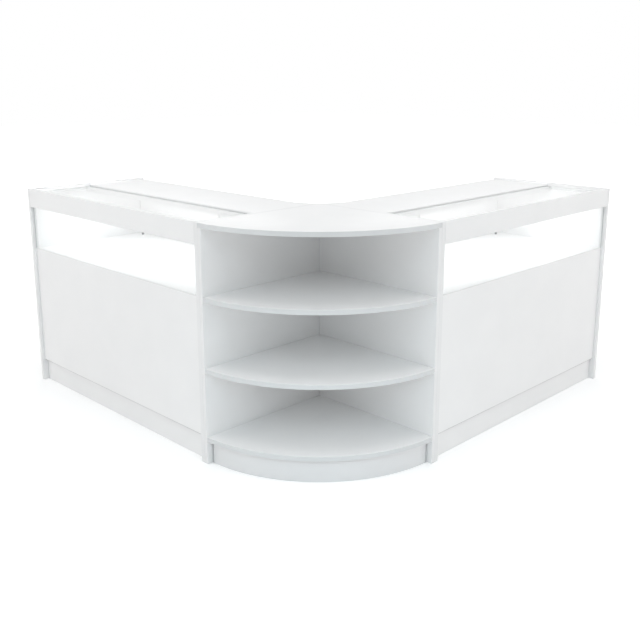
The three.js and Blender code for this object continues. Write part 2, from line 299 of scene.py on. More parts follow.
def round_over(piece, radius, segments=2, seam=-1):
    """Rounds the sharp edges. The narrow new faces take the seam's material slot, if there is one."""
    edit(piece)
    bpy.ops.mesh.select_mode(type="EDGE")
    bpy.ops.mesh.select_all(action="DESELECT")
    bpy.ops.mesh.edges_select_sharp(sharpness=SHARP)
    bpy.ops.mesh.bevel(offset=radius, segments=segments, affect="EDGES", material=seam)
    leave()
    shade(piece)


def round_edges(piece, wanted, radius, segments):
    """Rounds the edges whose two ends are wanted."""
    pick_points(piece, wanted)
    bpy.ops.mesh.select_mode(type="EDGE")
    bpy.ops.mesh.bevel(offset=radius, segments=segments, affect="EDGES")
    leave()


def cut_with(piece, cutter):
    """Cuts the piece with another, which is used up. The cut keeps the cutter's finish."""
    take(piece)
    bpy.ops.object.modifier_add(type="BOOLEAN")
    modifier = piece.modifiers[-1]
    modifier.operation = "DIFFERENCE"
    modifier.object = cutter
    modifier.material_mode = "TRANSFER"
    bpy.ops.object.modifier_apply(modifier=modifier.name)
    bpy.data.objects.remove(cutter)
    shade(piece)


def sink(piece, mouth, size):
    """Cuts a slot into a piece's staff side. The mouth is the slot's middle on the surface."""
    half = Vector((size.x, 0, size.z)) / 2
    low = mouth - half - TOWARD_STAFF * size.y
    high = mouth + half + TOWARD_STAFF * CUT_PAST
    cut_with(piece, start_block("slot", low, high))


def turned(name, outline, place, axis, steps):
    """A round piece drawn out ring by ring. The outline gives each ring's radius and place on the axis."""
    bpy.ops.object.select_all(action="DESELECT")
    radius, height = outline[0]
    bpy.ops.mesh.primitive_circle_add(vertices=steps, radius=radius, location=(0, 0, height))
    piece = settle(name)
    edit(piece)
    for next_radius, next_height in outline[1:]:
        bpy.ops.mesh.extrude_region_move(TRANSFORM_OT_translate={"value": (0, 0, next_height - height)})
        scale = next_radius / radius
        bpy.ops.transform.resize(value=(scale, scale, 1), center_override=(0, 0, next_height))
        radius, height = next_radius, next_height
    bpy.ops.mesh.select_all(action="SELECT")
    bpy.ops.mesh.remove_doubles(threshold=WELD)
    bpy.ops.mesh.fill_holes(sides=0)
    bpy.ops.mesh.select_all(action="SELECT")
    bpy.ops.mesh.normals_make_consistent(inside=False)
    leave()
    piece.rotation_euler = Vector((0, 0, 1)).rotation_difference(Vector(axis)).to_euler()
    piece.location = place
    bpy.ops.object.transform_apply(location=True, rotation=True, scale=True)
    shade(piece)
    return piece


def millimetres(outline):
    return [(radius * MM, height * MM) for radius, height in outline]


def group(name, pieces):
    """Joins pieces into one group of separate solids."""
    bpy.ops.object.select_all(action="DESELECT")
    for piece in pieces:
        piece.select_set(True)
    bpy.context.view_layer.objects.active = pieces[0]
    bpy.ops.object.join()
    return settle(name)


def copies(piece, name, moves):
    """The piece at each of several moves from where it is, as one group."""
    made = []
    for move in moves:
        take(piece)
        bpy.ops.object.duplicate()
        made.append(bpy.context.object)
        made[-1].data.transform(Matrix.Translation(move))
    bpy.data.objects.remove(piece)
    return group(name, made)


def dress(piece, *coats):
    piece.data.materials.clear()
    for coat in coats:
        piece.data.materials.append(coat)


def mirror_image(piece):
    """The left counter's copy of a right counter's piece."""
    take(piece)
    bpy.ops.object.duplicate()
    copy = bpy.context.object
    copy.name = piece.name.replace("right", "left")
    copy.data.name = copy.name
    copy.data.transform(ACROSS_THE_CORNER)
    copy.data.flip_normals()
    for slot in copy.material_slots:
        slot.material = LEFT_FINISH.get(slot.material.name, slot.material)
    return copy


def fit(piece, node="", body="desk"):
    """Fits a piece to its body, in place of the CAD node it stands for, if there is one."""
    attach(piece, body)
    if node:
        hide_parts(node)


def fit_pair(piece, node="", body="desk"):
    """Fits a right counter's piece, and its mirror image on the left counter."""
    left = mirror_image(piece)
    fit(piece, node, body)
    fit(left, node.replace("right", "left"), body.replace("right", "left"))


# Shared effects, as node groups on the piece's own coordinates

def effect(name, inputs, outputs):
    """An empty shader node group, with its input node's and its output node's sockets."""
    tree = bpy.data.node_groups.new(name, "ShaderNodeTree")
    for label, kind, value in inputs:
        socket = tree.interface.new_socket(label, in_out="INPUT", socket_type=kind)
        socket.default_value = value
    for label, kind in outputs:
        tree.interface.new_socket(label, in_out="OUTPUT", socket_type=kind)
    return tree, tree.nodes.new("NodeGroupInput").outputs, tree.nodes.new("NodeGroupOutput").inputs


def noise(tree, scale, detail, stretch=None):
    """Noise whose patches are about one over scale metres wide, drawn out along an axis by stretch."""
    place = tree.nodes.new("ShaderNodeTexCoord").outputs["Object"]
    if stretch is not None:
        mapping = tree.nodes.new("ShaderNodeMapping")
        tree.links.new(place, mapping.inputs["Vector"])
        tree.links.new(stretch, mapping.inputs["Scale"])
        place = mapping.outputs["Vector"]
    texture = tree.nodes.new("ShaderNodeTexNoise")
    texture.inputs["Scale"].default_value = scale
    texture.inputs["Detail"].default_value = detail
    tree.links.new(place, texture.inputs["Vector"])
    return texture.outputs["Fac"]


def ramp(tree, value, given_range, new_range):
    """Maps a value's range onto another. The new range's ends are numbers or sockets."""
    node = tree.nodes.new("ShaderNodeMapRange")
    tree.links.new(value, node.inputs["Value"])
    for label, end in zip(("From Min", "From Max", "To Min", "To Max"), (*given_range, *new_range)):
        if isinstance(end, (int, float)):
            node.inputs[label].default_value = end
        else:
            tree.links.new(end, node.inputs[label])
    return node.outputs["Result"]


def blend(tree, share, first, second):
    """A mix of two colours."""
    node = tree.nodes.new("ShaderNodeMix")
    node.data_type = "RGBA"
    tree.links.new(share, node.inputs["Factor"])
    tree.links.new(first, node.inputs["A"])
    tree.links.new(second, node.inputs["B"])
    return node.outputs["Result"]


def cloudy_tone():
    """A colour that drifts slightly into a second one over a hand's width, as pressed foil does."""
    tree, given, out = effect(
        "cloudy_tone",
        [("Colour", "NodeSocketColor", (1, 1, 1, 1)), ("Second Colour", "NodeSocketColor", (1, 1, 1, 1))],
        [("Colour", "NodeSocketColor")],
    )
    wide = ramp(tree, noise(tree, scale=7, detail=3), (0.35, 0.65), (0, 1))
    tree.links.new(blend(tree, wide, given["Colour"], given["Second Colour"]), out["Colour"])
    return tree


def pearl_grain():
    """The fine pebbled press of a satin surface: its height, and a roughness that varies with handling."""
    tree, given, out = effect(
        "pearl_grain",
        [("Smooth", "NodeSocketFloat", 0.35), ("Rough", "NodeSocketFloat", 0.5)],
        [("Roughness", "NodeSocketFloat"), ("Height", "NodeSocketFloat")],
    )
    handled = noise(tree, scale=11, detail=4)
    tree.links.new(ramp(tree, handled, (0.3, 0.7), (given["Smooth"], given["Rough"])), out["Roughness"])
    tree.links.new(noise(tree, scale=900, detail=1), out["Height"])
    return tree


def drawn_lines():
    """Fine lines along one axis, as on drawn metal, as a mask for their tone."""
    tree, given, out = effect(
        "drawn_lines",
        [("Stretch", "NodeSocketVector", (1, 1, 1))],
        [("Mask", "NodeSocketFloat")],
    )
    lines = noise(tree, scale=700, detail=2, stretch=given["Stretch"])
    tree.links.new(ramp(tree, lines, (0.35, 0.65), (0, 1)), out["Mask"])
    return tree


EFFECTS = {make.__name__: make() for make in (cloudy_tone, pearl_grain, drawn_lines)}


# Finishes

def finish(name):
    """A new material with its node tree and its shader."""
    material = bpy.data.materials.new(name)
    material.use_nodes = True
    return material, material.node_tree, material.node_tree.nodes["Principled BSDF"]


def use(tree, name, **values):
    """Places a shared effect in a material. Underscores in a value's name stand for spaces."""
    node = tree.nodes.new("ShaderNodeGroup")
    node.node_tree = EFFECTS[name]
    for label, value in values.items():
        node.inputs[label.replace("_", " ")].default_value = value
    return node.outputs


def rough_surface(tree, shader, smooth, rough):
    """Gives a finish the pressed grain: varying roughness, and a shallow bump."""
    grain = use(tree, "pearl_grain", Smooth=smooth, Rough=rough)
    bump = tree.nodes.new("ShaderNodeBump")
    bump.inputs["Strength"].default_value = GRAIN["strength"]
    bump.inputs["Distance"].default_value = GRAIN["depth"]
    tree.links.new(grain["Roughness"], shader.inputs["Roughness"])
    tree.links.new(grain["Height"], bump.inputs["Height"])
    tree.links.new(bump.outputs["Normal"], shader.inputs["Normal"])


def satin(name, colour, second, smooth, rough):
    """Coloured board, edge band or moulded plastic with a pressed grain."""
    material, tree, shader = finish(name)
    tone = use(tree, "cloudy_tone", Colour=(*colour, 1), Second_Colour=(*second, 1))
    tree.links.new(tone["Colour"], shader.inputs["Base Color"])
    rough_surface(tree, shader, smooth, rough)
    return material


def metal(name, colour, second, smooth, rough, along=None):
    """Metal with a fine grain, drawn out into lines along an axis, if there is one."""
    material, tree, shader = finish(name)
    shader.inputs["Metallic"].default_value = 1.0
    stretch = [1.0, 1.0, 1.0]
    if along is not None:
        stretch[along] = LINE_STRETCH
    lines = use(tree, "drawn_lines", Stretch=stretch)
    tone = tree.nodes.new("ShaderNodeMix")
    tone.data_type = "RGBA"
    tone.inputs["A"].default_value = (*colour, 1)
    tone.inputs["B"].default_value = (*second, 1)
    tree.links.new(lines["Mask"], tone.inputs["Factor"])
    tree.links.new(tone.outputs["Result"], shader.inputs["Base Color"])
    tree.links.new(ramp(tree, lines["Mask"], (0, 1), (smooth, rough)), shader.inputs["Roughness"])
    return material


def clear_glass():
    """Clear toughened glass that lets the lamps through to what is behind it."""
    material, tree, shader = finish("clear_glass")
    shader.inputs["Base Color"].default_value = (0.98, 0.99, 0.99, 1)
    shader.inputs["IOR"].default_value = 1.5
    shader.inputs["Transmission Weight"].default_value = 1.0
    smears = noise(tree, scale=14, detail=3)
    tree.links.new(ramp(tree, smears, (0.5, 0.75), (0, 0.035)), shader.inputs["Roughness"])
    open_to_lamps = tree.nodes.new("ShaderNodeBsdfTransparent")
    open_to_lamps.inputs["Color"].default_value = (0.95, 0.965, 0.965, 1)
    path = tree.nodes.new("ShaderNodeLightPath")
    mix = tree.nodes.new("ShaderNodeMixShader")
    tree.links.new(path.outputs["Is Shadow Ray"], mix.inputs["Fac"])
    tree.links.new(shader.outputs["BSDF"], mix.inputs[1])
    tree.links.new(open_to_lamps.outputs["BSDF"], mix.inputs[2])
    tree.links.new(mix.outputs["Shader"], tree.nodes["Material Output"].inputs["Surface"])
    return material


def opal_light():
    """The lit opal cover, a little cooler and dimmer in places."""
    material, tree, shader = finish("opal_light")
    shader.inputs["Base Color"].default_value = (0.9, 0.9, 0.9, 1)
    tone = use(tree, "cloudy_tone", Colour=(1.0, 1.0, 1.0, 1), Second_Colour=(0.93, 0.96, 1.0, 1))
    tree.links.new(tone["Colour"], shader.inputs["Emission Color"])
    shader.inputs["Emission Strength"].default_value = OPAL_GLOW
    rough_surface(tree, shader, 0.4, 0.5)
    return material


ANODISED = {"colour": (0.72, 0.73, 0.74), "second": (0.63, 0.64, 0.65), "smooth": 0.28, "rough": 0.42}

MELAMINE = satin("melamine", (0.88, 0.88, 0.88), (0.866, 0.867, 0.868), 0.36, 0.46)
EDGE_BAND = satin("edge_band", (0.835, 0.836, 0.837), (0.82, 0.822, 0.824), 0.32, 0.4)
# Painted shade: the curved boards' edge band is a darker, cooler copy of the edge band, for the shade on the
# corner's rounded fronts
SHADED_BENT_BAND = satin("bent_edge_band_painted_shade", (0.685, 0.7, 0.705), (0.67, 0.685, 0.691), 0.34, 0.42)
# Painted shade: the kickboard's board is a darker, cooler copy of the melamine, for the shade on the
# corner's curved foot
SHADED_BENT_BOARD = satin("bent_board", (0.78, 0.785, 0.79), (0.765, 0.77, 0.776), 0.36, 0.46)
SEAM = satin("edge_seam", (0.82, 0.825, 0.83), (0.78, 0.785, 0.79), 0.5, 0.6)
BOARD_CORE = satin("board_core", (0.55, 0.45, 0.33), (0.42, 0.33, 0.23), 0.8, 0.95)
GLASS = clear_glass()
GLASS_EDGE = satin("ground_glass_edge", (0.38, 0.42, 0.42), (0.46, 0.49, 0.5), 0.3, 0.5)
GREY_SEAL = satin("grey_seal", (0.5, 0.505, 0.51), (0.45, 0.455, 0.46), 0.5, 0.65)
ALUMINIUM = metal("anodised_along_x", **ANODISED, along=0)
ALUMINIUM_LEFT = metal("anodised_along_y", **ANODISED, along=1)
CHROME = metal("bright_plate", (0.66, 0.67, 0.68), (0.6, 0.61, 0.62), 0.1, 0.18)
ZINC = metal("zinc_plate", (0.6, 0.61, 0.62), (0.5, 0.51, 0.52), 0.3, 0.48)
OPAL = opal_light()
BLACK_PLASTIC = satin("black_plastic", (0.03, 0.03, 0.032), (0.045, 0.045, 0.048), 0.4, 0.55)
DARK_PLASTIC = satin("dark_plastic", (0.2, 0.2, 0.205), (0.16, 0.16, 0.165), 0.4, 0.55)
GREY_PLASTIC = satin("grey_plastic", (0.55, 0.555, 0.56), (0.5, 0.505, 0.51), 0.4, 0.55)
WHITE_PLASTIC = satin("white_plastic", (0.8, 0.8, 0.79), (0.76, 0.76, 0.75), 0.35, 0.45)
LEFT_FINISH = {ALUMINIUM.name: ALUMINIUM_LEFT}


# Boards

def band_edges(piece, thin, band=EDGE_BAND):
    """Board faces across the thin axis, edge band on the other faces, and a seam on the rounded edges."""
    dress(piece, MELAMINE, band, SEAM)
    for face in piece.data.polygons:
        face.material_index = 0 if abs(face.normal[thin]) > FACING else 1
    round_over(piece, ARRIS, seam=2)
    return piece


def board(node):
    low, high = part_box(node)
    thin = min(range(3), key=lambda axis: high[axis] - low[axis])
    return band_edges(start_block(f"{node}_board", low, high), thin)


def drill(piece, place, axis, radius, depth, moves=((0, 0, 0),)):
    """Bores holes at each of several moves from a place on a face. The axis points out of the face."""
    cutter = turned("drill", [(radius, CUT_PAST), (radius, -depth)], place, axis, steps=32)
    dress(cutter, BOARD_CORE)
    cut_with(piece, copies(cutter, "drill", moves))


def drill_pin_holes(piece, face, outward):
    """Two columns of shelf-pin holes in a bay's wall, whose surface is at face."""
    low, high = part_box("right_corner_shelf")
    height = PIN_HOLE["pitch"] * (PIN_HOLE["rows"] - 1)
    place = (face, low.y + PIN_HOLE_FROM_EDGE, low.z - PIN_RADIUS - height / 2)
    columns = (0, high.y - low.y - 2 * PIN_HOLE_FROM_EDGE)
    rows = [row * PIN_HOLE["pitch"] for row in range(PIN_HOLE["rows"])]
    moves = [(0, column, row) for column in columns for row in rows]
    drill(piece, place, (outward, 0, 0), PIN_HOLE["radius"], PIN_HOLE["depth"], moves)


def counter_boards():
    plain = (
        "front_panel", "plinth", "rear_plinth", "base_board", "display_deck",
        "worktop_rail", "glass_ledge", "corner_shelf", "end_shelf",
    )
    for name in plain:
        fit_pair(board(f"right_{name}"), f"right_{name}")
    for name, walls in BAY_WALLS.items():
        node = f"right_{name}"
        piece = board(node)
        for face, outward in walls:
            drill_pin_holes(piece, face, outward)
        fit_pair(piece, node)


def worktop():
    """The staff side's top, with a rounded nose over the glass."""
    node = "right_worktop"
    low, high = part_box(node)
    piece = start_block(f"{node}_board", low, high)
    round_edges(piece, lambda p: p.y < low.y + NEAR and p.z > high.z - NEAR, **WORKTOP_NOSE)
    fit_pair(band_edges(piece, 2), node)


def plinth_shadow_lip():
    """The grey lip under the front panel that closes the gap over the plinth, grey as painted shade for the
    panel's shadow line.
    """
    panel_low, panel_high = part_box("right_front_panel")
    plinth_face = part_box("right_plinth")[0].y
    top = panel_low.z - SHADOW_LIP["gap"]
    low = Vector((panel_low.x, panel_low.y + SHADOW_LIP["from_face"], top - SHADOW_LIP["height"]))
    high = Vector((panel_high.x, plinth_face - SHADOW_LIP["from_plinth"], top))
    piece = start_block("right_plinth_lip", low, high)
    middle = (low + high) / 2
    move_points(piece, lambda p: p.y > middle.y and p.z < middle.z, (0, 0, SHADOW_LIP["taper"]))
    round_over(piece, SHADOW_LIP["rounding"])
    # Painted shade: the lip's grey draws the shadow line under the front panel
    dress(piece, GREY_PLASTIC)
    fit_pair(piece)


def fascia():
    """The board over the window, rebated behind for the front glass."""
    node = "right_fascia"
    low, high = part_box(node)
    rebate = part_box("right_front_glass")[0].y - REBATE["play"]
    shoulder = low.z + REBATE["height"]
    piece = start_block(f"{node}_board", (low.x, low.y, shoulder), high)
    score(piece, 1, rebate)
    draw_out(piece, lambda c, n: n.z < -FACING and c.y < rebate, (0, 0, low.z - shoulder))
    fit_pair(band_edges(piece, 1), node)


def quarter_board(node):
    """A quarter-round board of the corner."""
    low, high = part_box(node)
    radius = math.hypot(APEX.x - low.x, APEX.y - high.y)
    piece = start_disc(f"{node}_board", APEX, radius, low.z, high.z)
    saw_off(piece, 0, high.x)
    saw_off(piece, 1, high.y)
    # The rounded front edges take the edge band with painted shade
    fit(band_edges(piece, 2, SHADED_BENT_BAND), node)


def kickboard():
    """The bent board under the corner's base, drawn up from an arc and given its thickness."""
    node = "corner_kickboard"
    low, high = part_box(node)
    radius = math.hypot(APEX.x - low.x, APEX.y - high.y)
    bpy.ops.object.select_all(action="DESELECT")
    bpy.ops.mesh.primitive_circle_add(vertices=CURVE_STEPS, radius=radius, location=(APEX.x, APEX.y, low.z))
    piece = settle(f"{node}_board")
    edit(piece)
    bpy.ops.mesh.extrude_region_move(TRANSFORM_OT_translate={"value": (0, 0, high.z - low.z)})
    for axis in (0, 1):
        bpy.ops.mesh.select_all(action="SELECT")
        bpy.ops.mesh.bisect(**plane(axis, high[axis]), clear_outer=True)
    bpy.ops.mesh.select_all(action="SELECT")
    bpy.ops.mesh.normals_make_consistent(inside=False)
    leave()
    outward = piece.data.polygons[0]
    if outward.normal.dot(outward.center - APEX) < 0:
        piece.data.flip_normals()
    bpy.ops.object.modifier_add(type="SOLIDIFY")
    modifier = piece.modifiers[-1]
    modifier.thickness = KICKBOARD_THICKNESS
    modifier.offset = -1
    bpy.ops.object.modifier_apply(modifier=modifier.name)
    # The kickboard takes the melamine copy with painted shade
    dress(piece, SHADED_BENT_BOARD, SEAM)
    round_over(piece, ARRIS, seam=1)
    fit(piece, node)


def infill():
    """The board that rounds the staff-side corner."""
    node = "corner_infill"
    low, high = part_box(node)
    piece = start_block(f"{node}_board", low, high)
    centre = APEX + Vector((INFILL_RADIUS, INFILL_RADIUS, 0))
    curve = start_disc("infill_curve", centre, INFILL_RADIUS, low.z - CUT_PAST, high.z + CUT_PAST)
    cut_with(piece, curve)
    fit(band_edges(piece, 2), node)


# Glass

def pane(node, standing):
    """A pane with lightly chamfered edges. A standing one has ground ends, and its foot in a white bed."""
    low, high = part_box(node)
    piece = start_block(f"{node}_pane", low, high)
    dress(piece, GLASS, GLASS_EDGE, WHITE_PLASTIC)
    for face in piece.data.polygons:
        face.material_index = 1 if standing and abs(face.normal.x) > FACING else 0
    round_over(piece, PANE_CHAMFER, segments=1)
    for face in piece.data.polygons:
        if standing and face.normal.z < BED_BELOW:
            face.material_index = 2
    fit_pair(piece, node)


def glass_bead():
    """The white bead that fills the groove between the front panel's top edge and the front glass."""
    panel_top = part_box("right_front_panel")[1].z
    glass_low, glass_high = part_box("right_front_glass")
    foot = panel_top + BEAD["above_panel"]
    low = Vector((glass_low.x, glass_low.y + BEAD["from_face"], foot - BEAD["height"] / 2))
    high = Vector((glass_high.x, low.y + BEAD["depth"], foot + BEAD["height"] / 2))
    piece = start_block("right_glass_bead", low, high)
    middle = (low.y + high.y) / 2
    move_points(piece, lambda p: p.y > middle and p.z < foot, (0, 0, BEAD["taper"]))
    move_points(piece, lambda p: p.y > middle and p.z > foot, (0, 0, -BEAD["taper"]))
    round_over(piece, BEAD["rounding"])
    dress(piece, WHITE_PLASTIC)
    fit_pair(piece)


def worktop_seal():
    """The grey seal in the joint between the worktop's front edge and the top glass."""
    worktop_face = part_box("right_worktop")[0].y
    glass_low, glass_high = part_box("right_top_glass")
    low = (SPAN[0] + SEAL["from_end"], glass_high.y + SEAL["from_side"], glass_low.z + SEAL["from_foot"])
    high = (SPAN[1] - SEAL["from_end"], worktop_face - SEAL["from_side"], glass_high.z + SEAL["above_glass"])
    piece = start_block("right_worktop_seal", low, high)
    dress(piece, GREY_SEAL)
    round_over(piece, SEAL["rounding"])
    fit_pair(piece)


# Doors, tracks and lock

def track(node, web_on_top):
    """A track with three ribs, between which two doors run."""
    low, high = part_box(node)
    web_low = high.z - TRACK_RIB if web_on_top else low.z
    web_high = web_low + TRACK_RIB
    piece = start_block(f"{node}_profile", (low.x, low.y, web_low), (high.x, high.y, web_high))
    ribs = [low.y + rib * (TRACK_RIB + TRACK_CHANNEL) for rib in range(3)]
    score(piece, 1, ribs[0] + TRACK_RIB, ribs[1], ribs[1] + TRACK_RIB, ribs[2])
    to_doors = -1 if web_on_top else 1
    height = high.z - low.z - TRACK_RIB

    def under_rib(centre, normal):
        return normal.z * to_doors > FACING and any(rib < centre.y < rib + TRACK_RIB for rib in ribs)

    draw_out(piece, under_rib, (0, 0, to_doors * height))
    round_over(piece, TRACK_ROUNDING)
    dress(piece, ALUMINIUM)
    fit_pair(piece, node)


def finger_pull(name, place, body):
    """A pressed cup with a narrow rim, let into the door's recess."""
    outline = (
        (17.6, -5.2), (17.6, 0.05), (20.4, 0.05), (20.8, 0.35), (20.3, 0.75),
        (18.6, 0.8), (17.3, 0.2), (16.6, -3.8), (15.4, -4.6),
    )
    piece = turned(name, millimetres(outline), place, TOWARD_STAFF, steps=64)
    dress(piece, CHROME)
    fit_pair(piece, body=body)


def sliding_door(name, pull_from_low, lock_at=None):
    """A door with its finger recess and pull, and with a hole for the lock where one is given."""
    node = f"right_{name}_door"
    body = f"right_{name}_sliding_door"
    low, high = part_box(node)
    pull_at = low.x + PULL_FROM_EDGE if pull_from_low else high.x - PULL_FROM_EDGE
    pull_place = Vector((pull_at, high.y, (low.z + high.z) / 2))
    piece = band_edges(start_block(f"{node}_panel", low, high), 1)
    drill(piece, pull_place, TOWARD_STAFF, PULL_RADIUS, PULL_DEPTH)
    if lock_at:
        drill(piece, lock_at, TOWARD_STAFF, LOCK_HOLE_RADIUS, high.y - low.y + CUT_PAST)
    fit_pair(piece, node, body)
    finger_pull(f"right_{name}_finger_pull", pull_place, body)


def lock_barrel():
    """The lock's barrel with its flange."""
    ring = (
        (5, -8), (7.7, -8), (7.7, 0.3), (11, 0.3), (11, 2.4), (10.1, 3.3),
        (6.4, 3.3), (5.6, 3.0), (5, 2.7), (5, -8),
    )
    piece = turned("right_lock_barrel", millimetres(ring), LOCK_PLACE, TOWARD_STAFF, steps=64)
    dress(piece, CHROME)
    fit_pair(piece, "right_lock_body", "right_corner_sliding_door")


def lock_core():
    """The lock's core, with the slot for the key that turns it."""
    rod = millimetres(((4.6, -8), (4.6, 3.9), (4.2, 4.3)))
    piece = turned("right_lock_turning_core", rod, LOCK_PLACE, TOWARD_STAFF, steps=64)
    dress(piece, CHROME)
    sink(piece, LOCK_PLACE + TOWARD_STAFF * rod[-1][1], KEYWAY)
    fit_pair(piece, "right_lock_core", "right_lock")


# Display light

def light_housing():
    """The light's housing, with a groove along its staff side."""
    node = "right_light_housing"
    low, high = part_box(node)
    middle = (low.z + high.z) / 2
    half = HOUSING["groove_half_width"]
    piece = start_block(f"{node}_profile", low, high)
    score(piece, 2, middle - half, middle + half)
    inward = -TOWARD_STAFF * HOUSING["groove_depth"]
    draw_out(piece, lambda c, n: n.y > FACING and abs(c.z - middle) < half, inward)
    round_over(piece, HOUSING["rounding"])
    dress(piece, ALUMINIUM)
    fit_pair(piece, node)


def light_cover():
    """The half-round opal cover under the housing."""
    node = "right_light_diffuser"
    low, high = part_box(node)
    radius = (high.y - low.y) / 2
    place = (low.x, low.y + radius, high.z)
    piece = turned(f"{node}_cover", [(radius, 0), (radius, high.x - low.x)], place, (1, 0, 0), steps=64)
    saw_off(piece, 2, high.z)
    round_over(piece, COVER_ROUNDING)
    dress(piece, OPAL)
    fit_pair(piece, node)


def light_end_block():
    """The block at the light's end, with a pocket for the switch."""
    node = "right_light_end"
    piece = start_block(f"{node}_block", block_low, block_high)
    round_over(piece, END_BLOCK_ROUNDING, segments=3)
    sink(piece, SWITCH_PLACE, ROCKER_POCKET)
    dress(piece, GREY_PLASTIC)
    fit_pair(piece, node)


def rocker_key():
    """The switch's rocker, hollowed across its middle and tilted to one side."""
    back = TOWARD_STAFF * ROCKER["back"]
    front = TOWARD_STAFF * (ROCKER["crown"] + ROCKER["rise"])
    half = Vector((ROCKER["width"] / 2, 0, ROCKER["reach"]))
    piece = start_block("right_rocker_key", -half - back, half + front)
    score(piece, 2, 0)
    move_points(piece, lambda p: p.y > 0 and abs(p.z) < NEAR, -TOWARD_STAFF * ROCKER["rise"])
    round_over(piece, ROCKER["rounding"])
    piece.rotation_euler = (math.radians(-ROCKER["tilt"]), 0, 0)
    piece.location = SWITCH_PLACE - TOWARD_STAFF * ROCKER_PIVOT_DEPTH
    bpy.ops.object.transform_apply(location=True, rotation=True, scale=True)
    dress(piece, BLACK_PLASTIC)
    fit_pair(piece, "right_light_switch", "right_rocker")


def light_inlet():
    """The inlet for the lead, under the light's end block."""
    ring = ((4.5, 0.05), (4.5, 6), (3.9, 8.5), (2.2, 8.5), (1.7, 8), (1.7, 3))
    place = (SWITCH_PLACE.x, block_low.y + INLET_FROM_FRONT, block_low.z)
    piece = turned("right_light_inlet", millimetres(ring), place, (0, 0, -1), steps=32)
    dress(piece, DARK_PLASTIC)
    fit_pair(piece)


# Fittings on the staff side

def shelf_pins(shelf, walls):
    """The four pins under a shelf, two in each wall of its bay."""
    low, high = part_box(f"right_{shelf}")
    depth = high.y - low.y - 2 * PIN_HOLE_FROM_EDGE
    outline = (
        (2.4, -7), (2.4, 0.05), (3.6, 0.05), (3.6, 0.8), (2.4, 0.9), (2.4, 7.8), (2.0, 8.4), (1.2, 8.6),
    )
    made = []
    for face, outward in walls:
        place = (face, low.y + PIN_HOLE_FROM_EDGE, low.z - PIN_RADIUS)
        pin = turned("pin", millimetres(outline), place, (outward, 0, 0), steps=24)
        made.append(copies(pin, "pins", [(0, 0, 0), (0, depth, 0)]))
    piece = group(f"right_{shelf}_pins", made)
    dress(piece, ZINC)
    fit_pair(piece)


def cam_caps(name, axis, places):
    """The caps over the cam fasteners in a board."""
    outline = ((8.6, 0.03), (8.6, 0.5), (8.0, 1.0), (2.2, 1.0), (1.8, 0.7))
    cap = turned("cap", millimetres(outline), (0, 0, 0), axis, steps=40)
    piece = copies(cap, f"right_{name}_cam_caps", places)
    dress(piece, WHITE_PLASTIC)
    fit_pair(piece)


def capped_boards():
    """Caps at the base board's ends, and at the divider's top and bottom."""
    low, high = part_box("right_base_board")
    rows = (high.y - CAP_FROM_REAR, low.y + CAP_FROM_FRONT)
    ends = (low.x + CAP_FROM_END, high.x - CAP_FROM_END)
    cam_caps("base", (0, 0, 1), [(end, row, high.z) for end in ends for row in rows])
    heights = (divider_low.z + CAP_FROM_END, divider_high.z - CAP_FROM_END)
    cam_caps("divider", (1, 0, 0), [(divider_high.x, row, height) for height in heights for row in rows])


def connector_bolts():
    """The bolts that join the counter to the corner's side, seen in the bay beside the corner."""
    outline = ((6.6, 0.03), (6.6, 0.9), (5.9, 1.7))
    bolt = turned("bolt", millimetres(outline), (0, 0, 0), (1, 0, 0), steps=40)
    socket = turned("hexagon", millimetres(((2.3, 0.6), (2.3, 3))), (0, 0, 0), (1, 0, 0), steps=6)
    cut_with(bolt, socket)
    rows = (counter_high.y - BOLT_FROM_EDGE, counter_low.y + BOLT_FROM_EDGE)
    places = [(counter_high.x, row, height) for row in rows for height in BOLT_HEIGHTS]
    piece = copies(bolt, "right_connector_bolts", places)
    dress(piece, ZINC)
    fit_pair(piece)


def infill_bracket():
    """The angle bracket that holds the rounded infill to a counter's inner end, with its screws."""
    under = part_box("corner_infill")[0].z
    middle = (counter_low.x + counter_high.x) / 2
    half = BRACKET["width"] / 2
    low = Vector((middle - half, counter_high.y + BRACKET["gap"], under - BRACKET["leg"]))
    high = Vector((middle + half, low.y + BRACKET["thickness"], under - BRACKET["gap"]))
    angle = start_block("right_infill_bracket", low, high)
    fold = high.z - BRACKET["thickness"]
    score(angle, 2, fold)
    draw_out(
        angle, lambda c, n: n.y > FACING and c.z > fold,
        TOWARD_STAFF * (BRACKET["leg"] - BRACKET["thickness"]),
    )
    round_over(angle, BRACKET["rounding"])
    outline = millimetres(((3.6, 0.03), (3.4, 1.0), (2.6, 1.7), (1.2, 1.9)))
    screws = []
    for share in BRACKET["screws"]:
        reach = BRACKET["leg"] * share
        screws.append(turned("screw", outline, (middle, high.y, high.z - reach), TOWARD_STAFF, steps=24))
        screws.append(turned("screw", outline, (middle, low.y + reach, fold), (0, 0, -1), steps=24))
    piece = group("right_infill_bracket", [angle, *screws])
    dress(piece, ZINC)
    fit_pair(piece)


# Stage

def camera():
    data = bpy.data.cameras.new("photo_view")
    data.lens = CAMERA_LENS
    data.shift_y = CAMERA_SHIFT
    view = bpy.data.objects.new("photo_view", data)
    view.location = CAMERA_PLACE
    view.rotation_euler = [math.radians(turn) for turn in CAMERA_TURN]
    bpy.context.scene.collection.objects.link(view)
    bpy.context.scene.camera = view


def seen_directly(tree):
    """One for a ray that comes from the camera, a mirror or clear glass, and zero for soft light."""
    path = tree.nodes.new("ShaderNodeLightPath").outputs
    most = path["Is Camera Ray"]
    for label in ("Is Glossy Ray", "Is Transmission Ray"):
        larger = tree.nodes.new("ShaderNodeMath")
        larger.operation = "MAXIMUM"
        tree.links.new(most, larger.inputs[0])
        tree.links.new(path[label], larger.inputs[1])
        most = larger.outputs["Value"]
    return most


